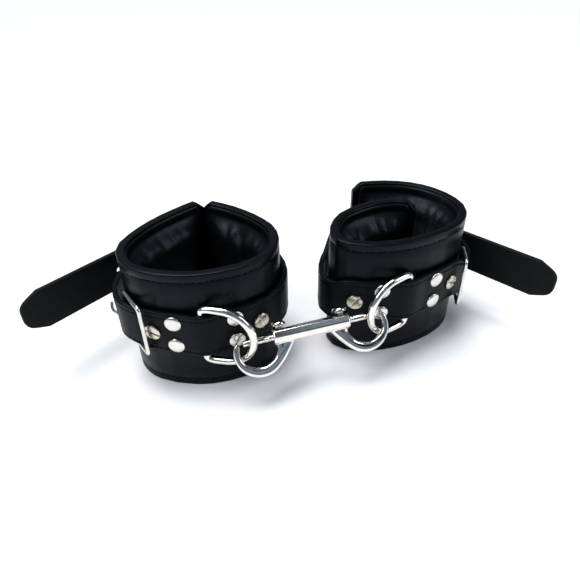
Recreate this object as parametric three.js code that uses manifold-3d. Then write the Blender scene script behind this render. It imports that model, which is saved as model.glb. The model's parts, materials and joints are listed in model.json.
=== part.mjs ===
// A pair of padded leather wrist cuffs joined by a double-ended bolt snap.
// Millimetres, +Z up. The snap's axis runs along X; the cuffs stand on their lower edges at z = 0.
import * as THREE from "three";
import { mergeVertices } from "three/addons/utils/BufferGeometryUtils.js";
import Module from "manifold-3d";

const wasm = await Module();
wasm.setup();

// ---- Driving dimensions ---------------------------------------------------------------------

const GAP = 0.3; // running gap between neighbouring solids

const CUFF_HEIGHT = 70;
const SHELL_THICKNESS = 2.8;
const CORNER_CLIP = 5; // clipped corners at both ends of a cuff body
const LINING_INSET = 3; // the lining stops short of both ends
const LINING_RIM = 1.9; // lining leather where it is stitched flat to the shell
const LINING_SKIN = 1.2; // lining leather over the padding
const PADDING = 6.5; // how far the padding stands out past the rim
const PADDING_FADE = 14; // length over which it dies away at each end
const STATION_STEP = 8; // longest facet along a cuff

const BELT_WIDTH = 24.4; // where it is riveted to the cuff
const TAIL_WIDTH = 23.2; // the free end is narrower
const BELT_THICKNESS = 2.8;
const BELT_Z = 37.3;
const STRAP_NARROWING = 5; // length over which it does so, from the outermost screws
const BELT_LIFT = GAP + BELT_THICKNESS; // outer face of the belt where it lies on the cuff
const TIP_LENGTH = 11;
const HOLE_RADIUS = 2.2;
const HOLE_PITCH = 16;
const HOLE_COUNT = 5;
const FIRST_HOLE = 57; // from the tip

const FACET = 4.6; // half length of the flat seat under a fastener head
const HEAD_RADIUS = 4.2;
const RIVET_SHANK = 1.4;
const RIVET_SPACING = 13.6;
const POST_RADIUS = 2.3;
const POST_BORE = 1.75;

const RING_WIRE = 2.05; // radius
const RING_WIDTH = 31; // between the centrelines of the arms
const RING_ARM = 9.5; // straight part of each arm
const BELT_OVER_RING = 2 * RING_WIRE + 2 * GAP + BELT_THICKNESS;

const BUCKLE_WIRE = 1.3;
const BUCKLE_HEIGHT = 28.5; // between the centrelines
const PRONG_WIRE = 0.8;
const PRONG_LOOP = BUCKLE_WIRE + 0.25 + PRONG_WIRE; // centreline radius round the heel bar
const PRONG_LENGTH = 15;
const HEEL_LIFT = BUCKLE_WIRE + GAP; // heel bar's centre above the shell
const SLOT_LENGTH = 12; // through the belt, for the prong
const SLOT_WIDTH = 3.2;
const RECESS_DEPTH = PRONG_LOOP + PRONG_WIRE - HEEL_LIFT + GAP; // in the shell, for the prong's loop
const BELT_OVER_HEEL = HEEL_LIFT + BUCKLE_WIRE + 2 * GAP + BELT_THICKNESS;
const HINGE_SPACE = BELT_THICKNESS / 2 + GAP; // from the tail's hinge line to the belt's cut end

const SNAP_Y = -1;
const SNAP_Z = 33;
const SNAP_LEAN = THREE.MathUtils.degToRad(-1.1); // its right end is the higher
const SNAP_TILT = THREE.MathUtils.degToRad(-35.3); // about the snap's own axis
const BARREL_RADIUS = 3.9;
const BARREL_HALF = 20;
const BORE_RADIUS = 2.1;
const BORE_BOTTOM = 1.5;
const EYE_X = 28;
const EYE_DROP = 4.6;
const EYE_INNER = 9.4;
const EYE_WALL = 3.8;
const EYE_DEPTH = 3.4;
const EYE_BEVEL = 0.7;
const PLUNGER_RADIUS = 1.7;
const PLUNGER_INNER_END = 11;
const PLUNGER_TIP = 35.2;
const TAB_X = 16;
const PLUNGER_TRAVEL = 6;

// The middle of the whole object's footprint, so that the model's origin lies under it.
const FOOTPRINT_CENTRE = new THREE.Vector2(0.53, 41.14);

// ---- The two cuffs ---------------------------------------------------------------------------

// Outlines are of the outer face, seen from above, from the end by the free strap to the other end.
// Distances along a cuff are counted from its ring's bar, positive towards the buckle. `side` is +1
// where the outside of the wall lies to the right of the direction of travel.
const LEFT = {
  name: "left",
  side: -1,
  outline: [
    [-35.2, 84.3], [-22, 71.5], [-11.5, 56], [-6, 41], [-7.8, 26.5], [-16.5, 14.8], [-30, 9.3],
    [-45, 8.3], [-57, 10.3], [-69, 15.5], [-79, 23], [-84.8, 33.5], [-85.4, 46], [-79, 57],
    [-67.5, 68.5], [-54, 77.6], [-37.6, 86.4],
  ],
  barAt: new THREE.Vector2(-51.9, 9),
  ringAngle: -28.8,
  ringZ: 36.9,
  strapZ: 38.8,
  rivetPairs: [-15.4, 13],
  screws: [-28.2, 23.8],
  screwTurns: [20, 75],
  lift: [
    [-64, 3.9], [-42, 3.8], [-34, BELT_LIFT], [-9, BELT_LIFT], [0, BELT_OVER_RING], [9, BELT_LIFT], [29, BELT_LIFT],
    [36.4, BELT_OVER_HEEL], [45.6, BELT_OVER_HEEL], [53, 5.6], [66, 5.2],
  ],
  heel: 41,
  frontBar: new THREE.Vector2(-79.6, 14.6),
  tail: [[-5, 50.5], [-17.4, 73.6], [-29.5, 87.6], [-45.4, 93.2], [-64.6, 89.8], [-78, 82.6], [-89, 75.6], [-126.5, 51.2], [-137, 44.4]],
};
const RIGHT = {
  name: "right",
  side: 1,
  outline: [
    [78.2, 44.1], [69, 49.9], [57, 51.9], [44, 49.6], [31.8, 44.6], [22.2, 34], [18.4, 22.8],
    [22.4, 14.2], [32, 8.2], [41.8, 5.6], [52, 4.8], [63, 5.4], [75, 8.2], [87, 13.6], [95.8, 22.5], [100, 34],
    [98, 49], [89.5, 63.3], [77, 72.2], [66, 75.8], [52.4, 78.3],
  ],
  barAt: new THREE.Vector2(54.3, 3),
  ringAngle: 197.2,
  ringZ: 36.5,
  strapZ: 34.4,
  rivetPairs: [-14.3, 16],
  screws: [-27, 28.2],
  screwTurns: [-35, 60],
  lift: [
    [-64, 6.6], [-50, 5.2], [-42, 4.6], [-33, BELT_LIFT], [-9, BELT_LIFT], [0, BELT_OVER_RING], [9, BELT_LIFT], [33, BELT_LIFT],
    [42.5, BELT_OVER_HEEL], [50.5, BELT_OVER_HEEL], [58, 5.6], [72, 5.2],
  ],
  heel: 46.5,
  frontBar: new THREE.Vector2(90.4, 7.4),
  tail: [[40.4, 71.2], [51.4, 81], [62, 84], [76, 80.6], [93.9, 68.2], [103, 53.5], [109.9, 41], [132, 0.4], [137.6, -9.8]],
};

// ---- Materials ---------------------------------------------------------------------------------

const material = (name, color, roughness, metalness) => {
  const made = new THREE.MeshStandardMaterial({ color, roughness, metalness });
  made.name = name;
  return made;
};
const shellLeather = () => material("shell_leather", 0x14151a, 0.42, 0);
const liningLeather = () => material("lining_leather", 0x101114, 0.5, 0);
const beltLeather = () => material("belt_leather", 0x17181d, 0.45, 0);
const paddingFoam = () => material("padding_foam", 0x3a3a3c, 0.95, 0);
const nickel = () => material("nickel", 0xcfccc6, 0.22, 1);
const chrome = () => material("chrome", 0xe3e4e6, 0.1, 1);
const springSteel = () => material("spring_steel", 0x9a9c9f, 0.35, 1);

// ---- Solids ------------------------------------------------------------------------------------

function closedMesh(geometry) {
  const bare = geometry.index ? geometry : geometry.clone();
  bare.deleteAttribute("normal");
  bare.deleteAttribute("uv");
  const merged = mergeVertices(bare, 1e-4);
  const points = merged.getAttribute("position").array;
  const index = merged.index.array;
  const kept = [];
  let volume = 0;
  const corner = (i) => new THREE.Vector3(points[3 * i], points[3 * i + 1], points[3 * i + 2]);
  for (let i = 0; i < index.length; i += 3) {
    const [a, b, c] = [index[i], index[i + 1], index[i + 2]];
    if (a === b || b === c || a === c) continue;
    kept.push(a, b, c);
    volume += corner(a).dot(corner(b).cross(corner(c)));
  }
  if (volume < 0) {
    for (let i = 0; i < kept.length; i += 3) [kept[i + 1], kept[i + 2]] = [kept[i + 2], kept[i + 1]];
  }
  merged.setIndex(kept);
  return merged;
}

function toSolid(geometry) {
  const closed = closedMesh(geometry);
  return new wasm.Manifold(new wasm.Mesh({
    numProp: 3,
    vertProperties: new Float32Array(closed.getAttribute("position").array),
    triVerts: new Uint32Array(closed.index.array),
  }));
}

function toGeometry(solid) {
  const { vertProperties, triVerts } = solid.getMesh();
  const geometry = new THREE.BufferGeometry();
  geometry.setAttribute("position", new THREE.BufferAttribute(vertProperties, 3));
  geometry.setIndex(new THREE.BufferAttribute(triVerts, 1));
  return geometry;
}

function cut(geometry, tools) {
  const solid = tools.reduce((body, tool) => body.subtract(toSolid(tool)), toSolid(geometry));
  return toGeometry(solid);
}

function join(geometries) {
  const [first, ...rest] = geometries.map(toSolid);
  return toGeometry(rest.reduce((body, solid) => body.add(solid), first));
}

function addMesh(group, name, geometry, look) {
  const closed = closedMesh(geometry);
  closed.computeVertexNormals();
  const mesh = new THREE.Mesh(closed, look);
  mesh.name = name;
  group.add(mesh);
}

// A solid whose cross-section [offset, z] travels along a list of stations in plan.
function sweep(stations, section) {
  const count = section(stations[0]).length;
  const positions = [];
  for (const station of stations) {
    for (const [offset, z] of section(station)) {
      positions.push(station.point.x + station.normal.x * offset, station.point.y + station.normal.y * offset, z);
    }
  }
  const index = [];
  for (let ring = 0; ring + 1 < stations.length; ring += 1) {
    for (let i = 0; i < count; i += 1) {
      const a = ring * count + i;
      const b = ring * count + ((i + 1) % count);
      index.push(a, b, b + count, a, b + count, a + count);
    }
  }
  for (const ring of [0, stations.length - 1]) {
    const outline = section(stations[ring]).map(([offset, z]) => new THREE.Vector2(offset, z));
    const clockwise = THREE.ShapeUtils.isClockWise(outline);
    const base = ring * count;
    for (const [a, b, c] of THREE.ShapeUtils.triangulateShape(outline, [])) {
      const turnsClockwise = THREE.ShapeUtils.isClockWise([outline[a], outline[b], outline[c]]);
      const [second, third] = (turnsClockwise === clockwise) === (ring === 0) ? [c, b] : [b, c];
      index.push(base + a, base + second, base + third);
    }
  }
  const geometry = new THREE.BufferGeometry();
  geometry.setAttribute("position", new THREE.Float32BufferAttribute(positions, 3));
  geometry.setIndex(index);
  return geometry;
}

// Wire bent into a closed loop through the given points.
function wireLoop(points, radius, steps, sides) {
  const curve = new THREE.CatmullRomCurve3(points, true, "centripetal");
  return new THREE.TubeGeometry(curve, steps, radius, sides, true);
}

function circleShape(radius, sides) {
  const corners = Array.from({ length: sides }, (_, i) => {
    const angle = (2 * Math.PI * i) / sides;
    return new THREE.Vector2(radius * Math.cos(angle), radius * Math.sin(angle));
  });
  return new THREE.Shape(corners);
}

function wireAlong(points, radius, steps, sides) {
  const curve = new THREE.CatmullRomCurve3(points, false, "centripetal");
  return new THREE.ExtrudeGeometry(circleShape(radius, sides), { steps, bevelEnabled: false, extrudePath: curve });
}

// Points of a rectangle with rounded corners in the (u, z) plane.
function roundedRectangle(length, height, corner) {
  const bends = [[length - corner, height / 2 - corner], [corner, height / 2 - corner],
    [corner, corner - height / 2], [length - corner, corner - height / 2]].map(([u, z], i) => [0, 0.5, 1].map((turn) => {
    const angle = (Math.PI / 2) * (i + turn);
    return [u + corner * Math.cos(angle), z + corner * Math.sin(angle)];
  }));
  return bends.flatMap((bend, i) => {
    const [from, to] = [bend[2], bends[(i + 1) % 4][0]];
    const side = [0.12, 0.5, 0.88].map((part) => from.map((value, axis) => THREE.MathUtils.lerp(value, to[axis], part)));
    return [...bend, ...side];
  });
}

// ---- Plan paths --------------------------------------------------------------------------------

const smooth = (t) => {
  const u = THREE.MathUtils.clamp(t, 0, 1);
  return u * u * (3 - 2 * u);
};

function curveThrough(points) {
  const curve = new THREE.CatmullRomCurve3(points.map(([x, y]) => new THREE.Vector3(x, y, 0)), false, "centripetal");
  curve.arcLengthDivisions = 1200;
  return curve;
}

function stationOn(curve, distance, side) {
  const t = THREE.MathUtils.clamp(distance / curve.getLength(), 0, 1);
  const point = curve.getPointAt(t);
  const tangent = curve.getTangentAt(t);
  return {
    distance,
    point: new THREE.Vector2(point.x, point.y),
    normal: new THREE.Vector2(tangent.y * side, -tangent.x * side).normalize(),
  };
}

function fillGaps(marks, step) {
  const sorted = [...marks].sort((a, b) => a - b);
  const filled = [];
  sorted.forEach((mark, i) => {
    const previous = sorted[i - 1];
    const pieces = i === 0 ? 1 : Math.max(1, Math.ceil((mark - previous) / step - 0.2));
    for (let k = 1; k < pieces; k += 1) filled.push(previous + ((mark - previous) * k) / pieces);
    filled.push(mark);
  });
  return filled;
}

function nearestDistance(curve, target) {
  let best = { gap: Infinity, distance: 0 };
  const length = curve.getLength();
  for (let distance = 0; distance <= length; distance += 0.25) {
    const point = curve.getPointAt(distance / length);
    const gap = Math.hypot(point.x - target.x, point.y - target.y);
    if (gap < best.gap) best = { gap, distance };
  }
  return best.distance;
}

// The flat seat of a fastener: the middle of the facet between two stations.
function seatAt(cuff, from, offset) {
  const a = stationOn(cuff.curve, cuff.bar + from - FACET, cuff.side);
  const b = stationOn(cuff.curve, cuff.bar + from + FACET, cuff.side);
  const pa = a.point.clone().addScaledVector(a.normal, offset);
  const pb = b.point.clone().addScaledVector(b.normal, offset);
  const along = pb.clone().sub(pa).normalize();
  return {
    point: pa.add(pb).multiplyScalar(0.5),
    normal: new THREE.Vector2(along.y * cuff.side, -along.x * cuff.side),
  };
}

// ---- Cuff pieces -------------------------------------------------------------------------------

function layOut(cuff) {
  const curve = curveThrough(cuff.outline);
  const length = curve.getLength();
  const bar = nearestDistance(curve, cuff.barAt);
  const seats = [...cuff.rivetPairs, ...cuff.screws].flatMap((at) => [bar + at - FACET, bar + at + FACET]);
  const heel = bar + cuff.heel;
  const marks = [0, CORNER_CLIP, length - CORNER_CLIP, length, bar, bar - 4, bar + 4, heel - 2.5, heel + 2.5, ...seats];
  return { ...cuff, curve, length, bar, marks: fillGaps(marks, STATION_STEP) };
}

const clipAt = (cuff, distance) => {
  const fromEnd = Math.min(distance, cuff.length - distance);
  return Math.max(0, CORNER_CLIP - fromEnd);
};

const paddingAt = (cuff, distance) => {
  const fromEnd = Math.min(distance, cuff.length - distance);
  return 0.3 + PADDING * smooth((fromEnd - 2) / PADDING_FADE);
};

function shellSection(cuff) {
  return ({ distance }) => {
    const clip = clipAt(cuff, distance);
    return [[0, clip], [0, CUFF_HEIGHT - clip], [-SHELL_THICKNESS, CUFF_HEIGHT - clip], [-SHELL_THICKNESS, clip]];
  };
}

function liningSection(cuff) {
  const back = -(SHELL_THICKNESS + GAP);
  const rim = back - LINING_RIM;
  return ({ distance }) => {
    const clip = clipAt(cuff, distance) + 0.4;
    const pad = paddingAt(cuff, distance);
    const pocket = rim + LINING_SKIN - pad;
    const mirrored = (z) => CUFF_HEIGHT - z;
    const shoulder = 0.55;
    return [
      [back, clip], [back, 8.4], [back - (back - pocket) * shoulder, 12.6], [pocket, 22], [pocket, mirrored(22)],
      [back - (back - pocket) * shoulder, mirrored(12.6)], [back, mirrored(8.4)], [back, mirrored(clip)],
      [rim, mirrored(clip)], [rim, mirrored(7)], [rim - pad * 0.6, mirrored(11.4)], [rim - pad, mirrored(22)],
      [rim - pad, 22], [rim - pad * 0.6, 11.4], [rim, 7], [rim, clip],
    ];
  };
}

function foamSection(cuff) {
  const back = -(SHELL_THICKNESS + GAP);
  const rim = back - LINING_RIM;
  return ({ distance }) => {
    const pocket = rim + LINING_SKIN - paddingAt(cuff, distance) + 0.4;
    const shoulder = 0.5;
    const mirrored = (z) => CUFF_HEIGHT - z;
    const middle = back - (back - pocket) * shoulder;
    return [[back, 9.6], [middle, 13.6], [pocket, 22.6], [pocket, mirrored(22.6)], [middle, mirrored(13.6)], [back, mirrored(9.6)]];
  };
}

// Half the width and the middle height of the strap at a distance from the ring's bar.
function strapAt(cuff, from) {
  const start = Math.abs(from < 0 ? cuff.screws[0] : cuff.screws[1]) + FACET;
  const part = smooth((Math.abs(from) - start) / STRAP_NARROWING);
  return { half: THREE.MathUtils.lerp(BELT_WIDTH, TAIL_WIDTH, part) / 2, middle: THREE.MathUtils.lerp(BELT_Z, cuff.strapZ, part) };
}

const liftAt = (cuff, from) => {
  const knots = cuff.lift;
  const next = knots.findIndex(([at]) => at >= from);
  if (next === -1) return knots[knots.length - 1][1];
  if (next === 0) return knots[0][1];
  const [a, low] = knots[next - 1];
  const [b, high] = knots[next];
  return THREE.MathUtils.lerp(low, high, smooth((from - a) / (b - a)));
};

function beltSection(cuff) {
  return ({ distance }) => {
    const outer = liftAt(cuff, distance - cuff.bar);
    const { half, middle } = strapAt(cuff, distance - cuff.bar);
    const [low, high] = [middle - half, middle + half];
    return [[outer, low], [outer, high], [outer - BELT_THICKNESS, high], [outer - BELT_THICKNESS, low]];
  };
}

// A drill for a hole square to the wall at a seat.
function drill(seat, radius, z, from, to) {
  const tool = new THREE.CylinderGeometry(radius, radius, to - from, 12);
  tool.rotateZ(-Math.PI / 2).translate((from + to) / 2, 0, 0);
  return placeAt(tool, seat, z);
}

// Moves a piece made along +X so that +X is the seat's outward normal.
function placeAt(geometry, seat, z) {
  geometry.rotateZ(Math.atan2(seat.normal.y, seat.normal.x));
  return geometry.translate(seat.point.x, seat.point.y, z);
}

// A turned piece from its profile of [x, radius] points, with its axis along +X.
function turned(profile, sides) {
  const geometry = new THREE.LatheGeometry(profile.map(([x, radius]) => new THREE.Vector2(radius, x)), sides);
  return geometry.rotateZ(-Math.PI / 2);
}

function rivet() {
  const base = BELT_LIFT + GAP;
  return turned([[-2.6, 0], [-2.6, RIVET_SHANK], [base, RIVET_SHANK], [base, HEAD_RADIUS], [base + 0.6, HEAD_RADIUS], [base + 1.2, 3], [base + 1.3, 0]], 12);
}

function slottedScrew(turn) {
  const base = BELT_LIFT + GAP;
  const head = turned([[-1.6, 0], [-1.6, RIVET_SHANK], [base, RIVET_SHANK], [base, HEAD_RADIUS], [base + 0.9, HEAD_RADIUS], [base + 1.3, 3.4], [base + 1.3, 0]], 12);
  const slot = new THREE.BoxGeometry(1.6, 12, 0.9).translate(base + 1.4, 0, 0);
  slot.rotateX(THREE.MathUtils.degToRad(turn));
  return cut(head, [slot]);
}

function screwPost() {
  const back = -(SHELL_THICKNESS + GAP + 0.8);
  return turned([[back, 0], [back, HEAD_RADIUS], [back + 0.8, HEAD_RADIUS], [back + 0.8, POST_RADIUS], [BELT_LIFT - 0.2, POST_RADIUS],
    [BELT_LIFT - 0.2, POST_BORE], [back + 1.4, POST_BORE], [back + 1.4, 0]], 12);
}

function ringSolid(cuff) {
  const points = [];
  const half = RING_WIDTH / 2;
  const corner = 3;
  const bend = (u, z, start) => {
    for (const turn of [0, 0.5, 1]) {
      const angle = start + (Math.PI / 2) * turn;
      points.push([u + corner * Math.cos(angle), z + corner * Math.sin(angle)]);
    }
  };
  points.push([0, half / 3], [0, -half / 3]);
  bend(corner, corner - half, Math.PI);
  for (let k = 0; k <= 8; k += 1) {
    const angle = -Math.PI / 2 + (Math.PI * k) / 8;
    points.push([RING_ARM + half * Math.cos(angle), half * Math.sin(angle)]);
  }
  bend(corner, half - corner, Math.PI / 2);
  return standing(wireLoop(points.map(([u, z]) => new THREE.Vector3(u, 0, z)), RING_WIRE, 48, 8), cuff.ringPivot, cuff.ringAngle, cuff.ringZ);
}

// Moves a piece made in the XZ plane from its pivot outwards.
function standing(geometry, pivot, degrees, z) {
  geometry.rotateZ(THREE.MathUtils.degToRad(degrees));
  return geometry.translate(pivot.x, pivot.y, z);
}

function buckleFrame(cuff) {
  const reach = cuff.heelPivot.distanceTo(cuff.frontBar);
  const points = roundedRectangle(reach, BUCKLE_HEIGHT, 2.2).map(([u, z]) => new THREE.Vector3(u, 0, z));
  const degrees = THREE.MathUtils.radToDeg(Math.atan2(cuff.frontBar.y - cuff.heelPivot.y, cuff.frontBar.x - cuff.heelPivot.x));
  return standing(wireLoop(points, BUCKLE_WIRE, 40, 6), cuff.heelPivot, degrees, cuff.strapZ);
}

function buckleProng(cuff, heelStation) {
  const loop = new THREE.TorusGeometry(PRONG_LOOP, PRONG_WIRE, 6, 14);
  const lifted = BELT_OVER_HEEL - HEEL_LIFT + PRONG_WIRE + 0.6;
  const route = [[0, PRONG_LOOP], [2.5, PRONG_LOOP + 0.3], [5, lifted - 0.8], [7.5, lifted], [11, lifted - 0.4], [PRONG_LENGTH, lifted - 1.7]];
  // out along the normal, and along the wall towards the belt's short end
  const shank = wireAlong(route.map(([along, out]) => new THREE.Vector3(out, along * cuff.side, 0)), PRONG_WIRE, 14, 6);
  const prong = join([loop, shank]);
  prong.rotateZ(Math.atan2(heelStation.normal.y, heelStation.normal.x));
  return prong.translate(cuff.heelPivot.x, cuff.heelPivot.y, cuff.strapZ);
}

// The free end of the belt: a rounded root on its hinge line, punched holes and a pointed tip.
function beltTail(cuff, hinge) {
  const root = stationOn(cuff.curve, hinge, cuff.side);
  const start = root.point.clone().addScaledVector(root.normal, liftAt(cuff, cuff.lift[0][0]) - BELT_THICKNESS / 2);
  cuff.tailPivot = start;
  const curve = curveThrough([[start.x, start.y], ...cuff.tail]);
  const length = curve.getLength();
  const tip = [14, 9, 5, 2.4, 0.8, 0].map((left) => length - left);
  const holes = Array.from({ length: HOLE_COUNT }, (_, i) => length - FIRST_HOLE - i * HOLE_PITCH);
  const half = BELT_THICKNESS / 2;
  const roundRoot = [0, 0.25, 0.6, 1].map((part) => part * half);
  const marks = fillGaps([...roundRoot, ...tip, ...holes.flatMap((at) => [at - 3, at + 3])], STATION_STEP);
  const body = sweep(marks.map((at) => stationOn(curve, at, -cuff.side)), ({ distance }) => {
    const fromTip = length - distance;
    const high = (TAIL_WIDTH / 2) * Math.min(1, 0.5 + 0.5 * Math.pow(Math.max(fromTip, 0) / TIP_LENGTH, 0.8));
    const fromRoot = half - distance;
    const thick = distance >= half ? half : Math.max(0.25, Math.sqrt(half * half - fromRoot * fromRoot));
    const [lower, upper] = [cuff.strapZ - high, cuff.strapZ + high];
    return [[thick, lower], [thick, upper], [-thick, upper], [-thick, lower]];
  });
  const punches = holes.map((at) => {
    const station = stationOn(curve, at, -cuff.side);
    return drill(station, HOLE_RADIUS, cuff.strapZ, -4, 4);
  });
  return cut(body, punches);
}

// ---- Snap hook pieces, made with the snap's axis on X, the eyes hanging down and the tabs up ----

// Outline of one eye and the web that joins it to the barrel, for the end at +X.
function eyeOutline() {
  const shape = new THREE.Shape();
  const angle = (degrees) => THREE.MathUtils.degToRad(degrees);
  const lip = EYE_X + EYE_INNER;
  shape.moveTo(8, 0);
  shape.lineTo(BARREL_HALF, 0);
  shape.absarc(EYE_X, -EYE_DROP, EYE_INNER, angle(174), angle(388), false);
  shape.lineTo(lip + 0.1, 1.4);
  shape.lineTo(lip + 1.1, 2.6);
  shape.lineTo(lip + EYE_WALL - 1.2, 2.6);
  shape.absarc(EYE_X - 0.4, -EYE_DROP - 0.5, EYE_INNER + EYE_WALL - 0.4, angle(24), angle(-118), true);
  shape.quadraticCurveTo(15, -12.4, 8, -3.6);
  return shape;
}

function snapBody() {
  const barrel = turned([
    [-BORE_BOTTOM, 0], [-BORE_BOTTOM, BORE_RADIUS], [-BARREL_HALF, BORE_RADIUS], [-BARREL_HALF, BARREL_RADIUS - 0.5],
    [-BARREL_HALF + 0.6, BARREL_RADIUS], [BARREL_HALF - 0.6, BARREL_RADIUS], [BARREL_HALF, BARREL_RADIUS - 0.5],
    [BARREL_HALF, BORE_RADIUS], [BORE_BOTTOM, BORE_RADIUS], [BORE_BOTTOM, 0],
  ], 16);
  const depth = EYE_DEPTH - 2 * EYE_BEVEL;
  const eye = new THREE.ExtrudeGeometry(eyeOutline(), {
    depth, curveSegments: 12, bevelEnabled: true, bevelThickness: EYE_BEVEL, bevelSize: EYE_BEVEL, bevelOffset: -EYE_BEVEL, bevelSegments: 1,
  });
  eye.translate(0, 0, -depth / 2).rotateX(Math.PI / 2);
  const otherEye = eye.clone().rotateZ(Math.PI);
  const bore = new THREE.CylinderGeometry(BORE_RADIUS, BORE_RADIUS, BARREL_HALF - BORE_BOTTOM + 1, 16).rotateZ(-Math.PI / 2);
  const boreMiddle = (BARREL_HALF + BORE_BOTTOM + 1) / 2;
  const tools = [];
  for (const end of [-1, 1]) {
    tools.push(bore.clone().translate(end * boreMiddle, 0, 0));
    const slotLength = PLUNGER_TRAVEL + 2.6;
    tools.push(new THREE.BoxGeometry(slotLength, 2.6, 6).translate(end * (TAB_X - PLUNGER_TRAVEL / 2), 0, 4));
    for (const face of [-1, 1]) {
      const pocket = new THREE.Shape([new THREE.Vector2(13.5, -5.4), new THREE.Vector2(18.2, -5), new THREE.Vector2(20.5, -11.6)]);
      const recess = new THREE.ExtrudeGeometry(pocket, { depth: 3, bevelEnabled: false });
      recess.rotateX(Math.PI / 2).translate(0, face > 0 ? -1.2 : 4.2, 0);
      tools.push(end > 0 ? recess : recess.rotateZ(Math.PI));
    }
  }
  return cut(join([barrel, eye, otherEye]), tools);
}

function plunger(end) {
  const rod = turned([[PLUNGER_INNER_END, 0], [PLUNGER_INNER_END, PLUNGER_RADIUS], [PLUNGER_TIP - 0.6, PLUNGER_RADIUS],
    [PLUNGER_TIP, PLUNGER_RADIUS - 0.6], [PLUNGER_TIP, 0]], 12);
  const stubHole = new THREE.CylinderGeometry(1.2, 1.2, 4, 10).rotateX(Math.PI / 2).translate(TAB_X, 0, 2.4);
  const made = cut(rod, [stubHole]);
  return end > 0 ? made : made.rotateZ(Math.PI);
}

function thumbTab(end) {
  const stub = new THREE.CylinderGeometry(0.9, 0.9, 5, 10).rotateX(Math.PI / 2).translate(TAB_X, 0, 3.2);
  const plate = new THREE.CylinderGeometry(3, 3.8, 2.2, 14).rotateX(Math.PI / 2).translate(TAB_X, 0, 6.3);
  const made = join([stub, plate]);
  return end > 0 ? made : made.rotateZ(Math.PI);
}

function snapSpring(end) {
  const turns = 5;
  const low = BORE_BOTTOM + 0.6;
  const high = PLUNGER_INNER_END - 0.6;
  const points = [];
  for (let i = 0; i <= turns * 8; i += 1) {
    const angle = (2 * Math.PI * i) / 8;
    points.push(new THREE.Vector3(low + ((high - low) * i) / (turns * 8), 1.7 * Math.cos(angle), 1.7 * Math.sin(angle)));
  }
  const made = wireAlong(points, 0.25, turns * 8, 4);
  return end > 0 ? made : made.rotateZ(Math.PI);
}

// ---- Assembly ----------------------------------------------------------------------------------

function buildCuff(group, given) {
  const cuff = layOut(given);
  const { name } = cuff;
  const barStation = stationOn(cuff.curve, cuff.bar, cuff.side);
  cuff.ringPivot = barStation.point.clone().addScaledVector(barStation.normal, RING_WIRE + GAP);
  const heelStation = stationOn(cuff.curve, cuff.bar + cuff.heel, cuff.side);
  cuff.heelPivot = heelStation.point.clone().addScaledVector(heelStation.normal, HEEL_LIFT);

  const whole = cuff.marks.map((distance) => stationOn(cuff.curve, distance, cuff.side));
  const rivetSeats = cuff.rivetPairs.map((at) => seatAt(cuff, at, 0));
  const screwSeats = cuff.screws.map((at) => seatAt(cuff, at, 0));
  const rivetHeights = [BELT_Z - RIVET_SPACING / 2, BELT_Z + RIVET_SPACING / 2];
  const rivetHoles = () => rivetSeats.flatMap((seat) => rivetHeights.map((z) => drill(seat, RIVET_SHANK + 0.35, z, -6, 12)));
  const postHoles = () => screwSeats.map((seat) => drill(seat, POST_RADIUS + 0.35, BELT_Z, -6, 12));

  const loopRecess = placeAt(new THREE.BoxGeometry(2 * RECESS_DEPTH, 7.6, SLOT_WIDTH), heelStation, cuff.strapZ);
  const shell = sweep(whole, shellSection(cuff));
  addMesh(group, `${name}_cuff_shell`, cut(shell, [...rivetHoles(), ...postHoles(), loopRecess]), shellLeather());
  const liningMarks = fillGaps([LINING_INSET, ...cuff.marks.filter((at) => at > CORNER_CLIP && at < cuff.length - CORNER_CLIP), cuff.length - LINING_INSET], STATION_STEP);
  const lined = liningMarks.map((distance) => stationOn(cuff.curve, distance, cuff.side));
  addMesh(group, `${name}_cuff_lining`, sweep(lined, liningSection(cuff)), liningLeather());
  const foamMarks = whole.filter(({ distance }) => distance > CORNER_CLIP + 1 && distance < cuff.length - CORNER_CLIP - 1);
  const recesses = screwSeats.map((seat) => drill(seat, HEAD_RADIUS + 0.4, BELT_Z, -(SHELL_THICKNESS + 1.6), 0));
  addMesh(group, `${name}_cuff_padding`, cut(sweep(foamMarks, foamSection(cuff)), recesses), paddingFoam());

  const beltEnd = cuff.bar + cuff.lift[cuff.lift.length - 1][0];
  const hinge = cuff.bar + cuff.lift[0][0];
  const beltStart = hinge + HINGE_SPACE;
  const beltMarks = fillGaps([beltStart, ...cuff.marks.filter((at) => at > beltStart + 2 && at < beltEnd - 2), beltEnd], STATION_STEP);
  const belt = sweep(beltMarks.map((distance) => stationOn(cuff.curve, distance, cuff.side)), beltSection(cuff));
  const prongSlot = placeAt(new THREE.BoxGeometry(24, SLOT_LENGTH, SLOT_WIDTH), heelStation, cuff.strapZ);
  addMesh(group, `${name}_belt`, cut(belt, [...rivetHoles(), ...postHoles(), prongSlot]), beltLeather());

  rivetSeats.forEach((seat, i) => {
    rivetHeights.forEach((z, j) => {
      addMesh(group, `${name}_rivet_${2 * i + j + 1}`, placeAt(rivet(), seat, z), nickel());
    });
  });
  screwSeats.forEach((seat, i) => {
    addMesh(group, `${name}_screw_${i + 1}`, placeAt(slottedScrew(cuff.screwTurns[i]), seat, BELT_Z), nickel());
    addMesh(group, `${name}_screw_post_${i + 1}`, placeAt(screwPost(), seat, BELT_Z), nickel());
  });
  addMesh(group, `${name}_ring`, ringSolid(cuff), chrome());
  addMesh(group, `${name}_buckle_frame`, buckleFrame(cuff), nickel());
  addMesh(group, `${name}_buckle_prong`, buckleProng(cuff, heelStation), nickel());
  addMesh(group, `${name}_belt_tail`, beltTail(cuff, hinge), beltLeather());
}

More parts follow.
